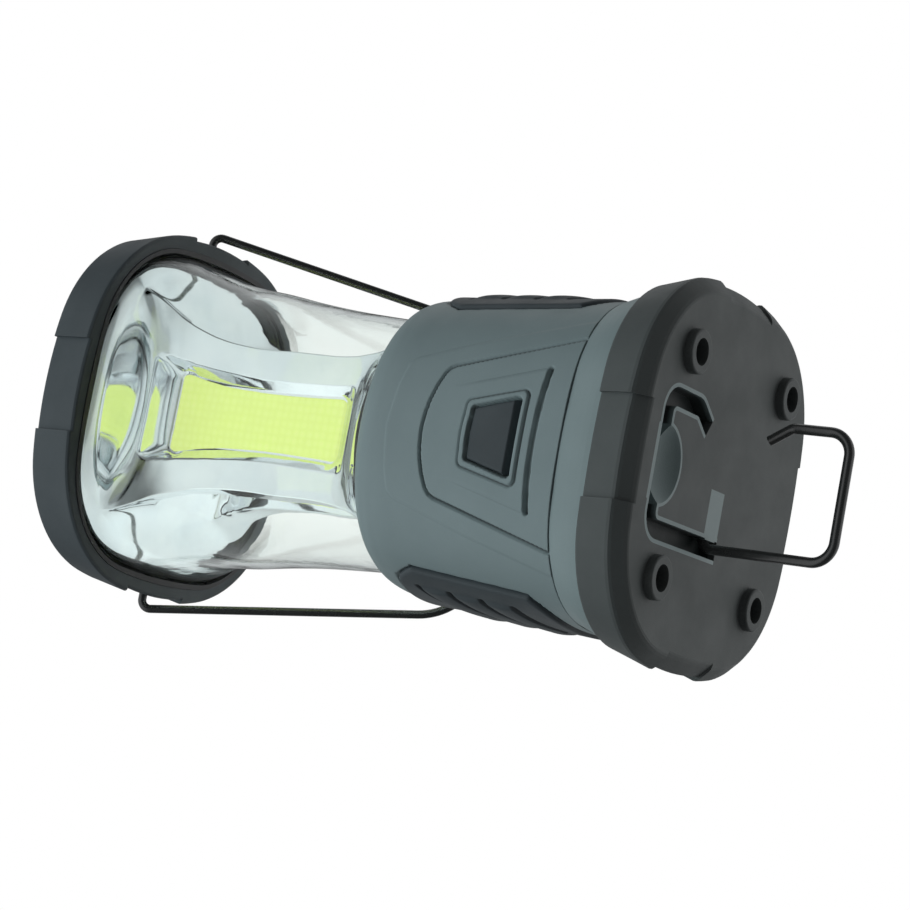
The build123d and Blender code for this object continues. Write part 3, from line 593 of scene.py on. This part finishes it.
# Outlines on the front, as (across, height). BEZEL, OPENING and BUTTON are drawn small, and
# the distances in their _EDGE widen them, which makes their corners round.
PANEL = mirrored([
    (29.9, 24), (18.2, 65.6), (17.3, 67.3), (15.8, 68.5), (12, 70.1), (8, 71.3), (4, 72),
    (0, 72.2),
])
BACKGROUND = mirrored([
    (35.6, 20), (34, 29.6), (27, 55), (19.4, 79), (17.6, 81.2), (12, 82.6), (0, 84),
])
MIDDLE = mirrored([(19.2, 36.2), (12.6, 62), (12, 74)])
BAR = [(-19.2, 35.7), (-13, 36.2), (-6, 36.5), (0, 36.6), (6, 36.5), (13, 36.2), (19.2, 35.7)]
BEZEL = mirrored([(11.0, 41.9), (7.4, 57.0), (0, 57.5)])
OPENING = mirrored([(9.6, 43.0), (6.3, 55.7), (0, 56.1)])
BUTTON = mirrored([(9.5, 43.1), (6.25, 55.6), (0, 56.0)])
BEZEL_EDGE, OPENING_EDGE, BUTTON_EDGE = 1.6, 1.2, 0.85

# How far each of them stands out or is cut in.
BACKGROUND_RISE, PANEL_RISE, MIDDLE_RISE, BEZEL_RISE = 0.22, 0.15, 0.3, 0.45
PANEL_GROOVE, BAR_GROOVE, BEZEL_GROOVE, OPENING_DEPTH = 1.1, 1.3, 0.55, 3.4
MIDDLE_FADES = (61, 12)
FRONT_HALF, SIDE_FROM = 37, 25
OPENING_HIDES = 0.8

# Side grips: half their width along Y, the depth of their bed, their bottom edge and how
# much it rises at its corners, their top edge with its arch and its fall, and their ribs.
GRIP_HALF, GRIP_BED = 28.6, 0.9
GRIP_FOOT, GRIP_FOOT_RISE = 33.4, 5.6
GRIP_HEAD, GRIP_HEAD_ARCH, GRIP_HEAD_FALL = 86.0, 2.6, 5.5
GRIP_CROWN, GRIP_SHOULDER, GRIP_SHOULDER_DROP = 0.95, 1.4, 1.1
RIB_TOP_Z, RIB_PITCH, RIB_COUNT = 70.5, 10.3, 3
RIB_HALF, RIB_BULGE, RIB_SLOT = 21.6, 0.9, 1.5

# Button: the height of its crown, its round shoulder, and the wall it stands on.
BUTTON_CROWN, BUTTON_SHOULDER, BUTTON_DOME = 0.45, 0.9, 0.25
BUTTON_FOOT_STEP, BUTTON_WALL = 2.8, 3.2
BUTTON_FOOT, BUTTON_HEAD = 41.7, 57.3
BUTTON_HALF, BUTTON_HALF_Z, BUTTON_TAPER = 10.6, 42, 0.24


def grip_low(y):
    """Bottom edge of a side grip, rising at its corners."""
    return GRIP_FOOT + GRIP_FOOT_RISE * np.clip((np.abs(y) - 12) / 16.6, 0, 1) ** 2.5


def grip_top(y):
    """Top edge of a side grip: a shallow arch that falls away at its corners."""
    fall = GRIP_HEAD_FALL * np.clip((np.abs(y) - 22) / 6.6, 0, 1) ** 2
    return GRIP_HEAD - GRIP_HEAD_ARCH * (y / 24) ** 2 - fall


def front_relief(x, z):
    """How far the front stands out from the plain body, with its panel, bezel and grooves."""
    panel = to_outline(x, z, PANEL)
    bezel = to_outline(x, z, BEZEL) - BEZEL_EDGE
    opening = to_outline(x, z, OPENING) - OPENING_EDGE
    bar = to_path(x, z, BAR)
    middle = to_outline(x, z, MIDDLE)
    relief = BACKGROUND_RISE * (1 - rise(to_outline(x, z, BACKGROUND), 0, 0.7))
    relief += PANEL_RISE * (1 - rise(panel, 0, 0.5))
    relief -= PANEL_GROOVE * (1 - rise(np.abs(panel), 0.4, 0.4))
    relief += MIDDLE_RISE * (1 - rise(middle, 0, 0.6)) * (1 - rise(z, *MIDDLE_FADES))
    relief -= BAR_GROOVE * (1 - rise(bar, 0.62, 0.45))
    relief -= BEZEL_GROOVE * (1 - rise(np.abs(bezel - 0.3), 0.3, 0.4))
    relief += BEZEL_RISE * (1 - rise(bezel, 0, 0.6))
    relief -= OPENING_DEPTH * (1 - rise(opening, 0, 0.4))
    return relief, opening


def make_body():
    """Body shell with its switch panel: relief on the front, and a bed on each side."""
    angles = turns(*BODY_TURNS)
    heights = np.concatenate([
        np.arange(SEAM_Z - SEAM_LAP, SHOULDER_Z, BODY_ROW),
        np.linspace(SHOULDER_Z, HEAD_Z, SHOULDER_ROWS),
    ])
    outside = ring(angles, heights, through(heights, BODY_LEVELS))
    x, y, z = np.moveaxis(outside, 2, 0)
    relief, opening = front_relief(x, z)
    at_front = (y < 0) & (np.abs(x) < FRONT_HALF)
    sunk = np.minimum(z - grip_low(y), grip_top(y) - z)
    sunk = np.minimum(sunk, GRIP_HALF - np.abs(y))
    bed = -GRIP_BED * rise(sunk, -0.45, 0.5) * (np.abs(x) > SIDE_FROM)
    move = np.where(at_front, relief, 0) + bed
    outside = outside + outward(outside, True) * move[:, :, None]
    lining = np.array(LINING_LEVELS)
    points = np.concatenate([outside, ring(angles, lining[:, 0], lining[:, 1:])])
    hidden = np.zeros(points.shape[:2], bool)
    hidden[: len(heights)] = at_front & (opening < -OPENING_HIDES)
    skin(
        "body_shell", points, "lantern", "body_grey", ("body_housing", "switch_panel"),
        shut=True, drop=hidden,
    )


def on_side(y, z, side):
    """Point of the plain body's left (-1) or right (1) side, at given y and z."""
    size = through(z.ravel(), BODY_LEVELS)
    one, other = (size[:, i].reshape(z.shape) for i in (0, 1))
    angle = np.zeros_like(y)
    for _ in range(12):
        angle = np.arcsin(np.clip(y / reach(angle, one, other), -0.95, 0.95))
    away = reach(angle, one, other)
    return np.stack([side * away * np.cos(angle), y, z], axis=2)


def shoulder(inset, width):
    """1 at an edge and 0 from width inside it, along a quarter circle."""
    return 1 - np.sqrt(1 - (1 - np.clip(inset / width, 0, 1)) ** 2)


def make_grip(side, name, node):
    """Rubber side grip: a smooth border round scalloped ribs, with a dark slot under each."""
    across = np.linspace(-1, 1, 170)[None, :]
    up = np.linspace(0, 1, 210)[:, None]
    y = GRIP_HALF * across + 0 * up
    low, top = grip_low(y), grip_top(y)
    z = low + (top - low) * up
    base = on_side(y, z, side)
    edge = mirrored(
        [(v, grip_low(v)) for v in np.linspace(2, GRIP_HALF, 16)]
        + [(v, grip_top(v)) for v in np.linspace(GRIP_HALF, 2, 16)]
    )
    inset = -to_outline(y, z, edge)
    height = GRIP_CROWN - GRIP_SHOULDER_DROP * shoulder(inset, GRIP_SHOULDER)
    count = (RIB_TOP_Z + 6.5 * np.abs(y) / 21 - z) / RIB_PITCH
    ribbed = (1 - rise(np.abs(y), RIB_HALF, 2.4)) * rise(inset, 2.2, 1.6)
    bulge = RIB_BULGE * np.sin(np.pi * (count % 1.0)) ** 0.8
    among = (count > 0) & (count < RIB_COUNT)
    height = height + ribbed * np.where(among, bulge, 0)
    slot_gap = np.abs(count - np.clip(np.round(count), 0, RIB_COUNT)) * RIB_PITCH
    height = height - ribbed * RIB_SLOT * (1 - rise(slot_gap, 0.75, 0.9))
    # The outermost points go straight down from the next ones, into the bed.
    height[0], height[-1] = -GRIP_BED, -GRIP_BED
    height[:, 0], height[:, -1] = -GRIP_BED, -GRIP_BED
    normal = outward(base, False) * side
    base[0], base[-1], base[:, 0], base[:, -1] = base[1], base[-2], base[:, 1], base[:, -2]
    points = base + normal * height[:, :, None]
    if side < 0:
        points = points[:, ::-1]
    skin(name, points, "lantern", "black_rubber", (node,), wrap=False)


def make_button():
    """Rubber button: a low crown with soft edges, and a steep step along its foot."""
    across = np.linspace(-1, 1, 90)[None, :]
    heights = np.linspace(BUTTON_FOOT, BUTTON_HEAD, 80)[:, None]
    x = (BUTTON_HALF - (heights - BUTTON_HALF_Z) * BUTTON_TAPER) * across
    z = heights + 0 * across
    inset = BUTTON_EDGE - to_outline(x, z, BUTTON)
    height = BUTTON_CROWN - BUTTON_SHOULDER * shoulder(inset, BUTTON_SHOULDER)
    height = height + BUTTON_DOME * np.sin(np.pi * np.clip((z - 43) / 13, 0, 1))
    height = height - BUTTON_FOOT_STEP * (1 - rise(z, 43.6, 1.5))
    height = np.where(inset <= 0.02, -BUTTON_WALL, height)
    side = through(z.ravel(), BODY_LEVELS)[:, 0].reshape(z.shape)
    y = -side - height
    points = np.stack([x, y, z], axis=2)
    skin("button_cap", points, "button", "black_rubber", ("power_button",), wrap=False)


make_body()
make_button()
make_grip(-1, "grip_left", "side_grip_left")
make_grip(1, "grip_right", "side_grip_right")


# ---------------------------------------------------------------- lens and reflector

LENS_LEVELS = (
    (92.1, 36.8, 36.9), (105.0, 36.8, 36.9), (112.5, 37.2, 37.3), (124.5, 38.0, 38.1),
    (138.5, 39.5, 39.6), (151.0, 41.3, 41.4), (160.5, 42.3, 42.6), (168.0, 43.6, 45.6),
    (175.0, 45.6, 49.6), (183.5, 48.3, 54.4),
)
LENS_WALL = 1.6
LENS_FOOT, LENS_FLANGE_FOOT = 92.1, 183.4
FLANGE_LEVELS = (
    (183.5, 50.0, 55.6), (183.6, 50.2, 55.8), (185.0, 50.2, 55.8), (185.1, 50.0, 55.6),
    (185.1, 46.7, 52.8),
)

# Here the last number is how far a ridge between two panels stands out along X and along Y.
REFLECTOR_LEVELS = (
    (98.5, 34.4, 24.3), (101.0, 29.2, 23.4), (104.0, 25.4, 22.6), (108.0, 22.9, 21.8),
    (112.0, 21.8, 21.2), (116.0, 21.4, 20.9), (131.0, 21.4, 20.9), (149.5, 22.0, 21.1),
    (161.5, 22.2, 22.9), (171.0, 23.6, 26.6), (175.5, 25.2, 29.9), (178.5, 28.6, 31.8),
    (180.6, 34.4, 32.8), (182.3, 42.4, 33.6),
)
RIM_LEVELS = ((184.4, 46.3, 52.4), (186.5, 46.5, 52.6))

# Half widths of an LED strip and of its well, as (height, half width).
STRIP_HALF = ((113.5, 9.2), (124.0, 8.75), (143.5, 8.6), (160.0, 9.7), (172.8, 12.1))
WELL_HALF = ((109.5, 12.7), (124.0, 12.2), (143.5, 12.2), (160.0, 13.4), (177.6, 15.6))
STRIP_CORNER, WELL_CORNER = 2.4, 2.2
STRIP_GAP, WELL_FLOOR = 0.5, 18.6
REFLECTOR_ROW = 0.38
GEL_BACK, GEL_FACE, GEL_EDGE, GEL_CROWN = 18.3, 18.9, 0.55, 0.25


def upright(half, corner):
    """Closed outline of a shape with hollow sides, drawn small by its corners' radius."""
    heights = np.linspace(half[0][0], half[-1][0], 15)
    widths = through(heights, half)[:, 0]
    heights = np.clip(heights, heights[0] + corner, heights[-1] - corner)
    return mirrored([(w - corner, h) for w, h in zip(widths, heights)])


STRIP = upright(STRIP_HALF, STRIP_CORNER)
WELL = upright(WELL_HALF, WELL_CORNER)


def panel_grid(levels, heights, across):
    """One arched reflector panel, facing +X: points for each height and place across it."""
    middle, ridge = through(heights, levels).T[:, :, None]
    y = ridge * across[None, :]
    x = middle - (middle - ridge) * across[None, :] ** 2
    return x, y, np.broadcast_to(heights[:, None], x.shape)


def turned(x, y, z, degrees):
    """Grid of points turned about the axis."""
    c, s = math.cos(math.radians(degrees)), math.sin(math.radians(degrees))
    return np.stack([c * x - s * y, s * x + c * y, z], axis=2)


def make_reflector():
    """Metallised reflector: four arched panels between soft ridges, each with its well."""
    across = np.linspace(-1, 1, 100, endpoint=False)
    foot, head = REFLECTOR_LEVELS[0][0], REFLECTOR_LEVELS[-1][0]
    heights = np.concatenate([np.arange(foot, head, REFLECTOR_ROW), [head]])
    x, y, z = panel_grid(REFLECTOR_LEVELS, heights, across)
    strip = to_outline(y, z, STRIP) - STRIP_CORNER - STRIP_GAP
    well = to_outline(y, z, WELL) - WELL_CORNER
    sloped = np.clip(-well / np.maximum(strip - well, 0.05), 0, 1)
    sloped = np.where(strip <= 0, 1, np.where(well >= 0, 0, sloped))
    x = x + (WELL_FLOOR - x) * sloped
    angle = np.arctan2(y[-1], x[-1])
    for level, side, corner in RIM_LEVELS:
        away = reach(angle, side, corner)
        row = (away * np.cos(angle), away * np.sin(angle), np.full_like(angle, level))
        x, y, z = (np.vstack([old, new]) for old, new in zip((x, y, z), row))
    quarters = [turned(x, y, z, 90 * quarter) for quarter in range(4)]
    skin(
        "reflector_shell", np.concatenate(quarters, axis=1), "lantern", "reflector_chrome",
        ("reflector",),
    )


def make_lens():
    """Clear lens, a smooth shell with a flange at its head."""
    angles = np.radians(np.arange(0, 360, 1.5))
    heights = np.linspace(LENS_FOOT, LENS_FLANGE_FOOT, 130)
    sizes = through(heights, LENS_LEVELS)
    flange = np.array(FLANGE_LEVELS)
    points = ring(
        angles,
        np.concatenate([heights, flange[:, 0], heights[::-1]]),
        np.concatenate([sizes, flange[:, 1:], sizes[::-1] - LENS_WALL]),
    )
    skin("lens_shell", points, "lantern", "clear_lens", ("lens",), shut=True)


def make_strip(turn, name, node):
    """LED strip: phosphor gel, slightly crowned, with a soft edge. Its glow is painted in its
    material.
    """
    across = np.linspace(-1, 1, 60)[None, :]
    foot, head = STRIP_HALF[0][0], STRIP_HALF[-1][0]
    heights = np.linspace(foot, head, 150)[:, None]
    half = through(heights[:, 0], STRIP_HALF)
    corner = STRIP_CORNER
    end = np.minimum(heights - foot, head - heights)
    cut = corner - np.sqrt(np.maximum(corner**2 - np.clip(corner - end, 0, corner) ** 2, 0))
    y = (half - cut) * across
    z = heights + 0 * across
    inset = -(to_outline(y, z, STRIP) - corner)
    crown = GEL_EDGE * np.sqrt(1 - (1 - np.clip(inset / 1.2, 0, 1)) ** 2)
    x = GEL_FACE + crown + GEL_CROWN * np.clip(inset / 8, 0, 1)
    x[0], x[-1], x[:, 0], x[:, -1] = GEL_BACK, GEL_BACK, GEL_BACK, GEL_BACK
    skin(name, turned(x, y, z, turn), "lantern", "led_yellow", (node,), wrap=False)


make_reflector()
make_lens()
for side_name, side_turn in (("front", -90), ("right", 0), ("back", 90), ("left", 180)):
    make_strip(side_turn, "gel_" + side_name, "led_strip_" + side_name)


# ---------------------------------------------------------------- floor

FLOOR_SIZE, FLOOR_Z, FLOOR_GLOW = 80, -1.2, 0.55


def make_floor():
    """Pale studio floor, well below the lantern so that the camera has room under it."""
    bpy.ops.mesh.primitive_plane_add(size=FLOOR_SIZE, location=(0, 0, FLOOR_Z))
    floor = bpy.context.object
    floor.name = "floor"
    s = new_look("pale_floor")
    cloud = spread(s, noise(s, 3, 4), 0, 1)
    colour = blend(s, cloud, (0.84, 0.84, 0.835), (0.88, 0.88, 0.875))
    look = finish_look(
        s, Base_Color=colour, Roughness=0.8, Emission_Color=colour, Emission_Strength=FLOOR_GLOW
    )
    floor.data.materials.append(look)
    floor.visible_diffuse = floor.visible_glossy = floor.visible_transmission = False
    floor.visible_shadow = False


make_floor()
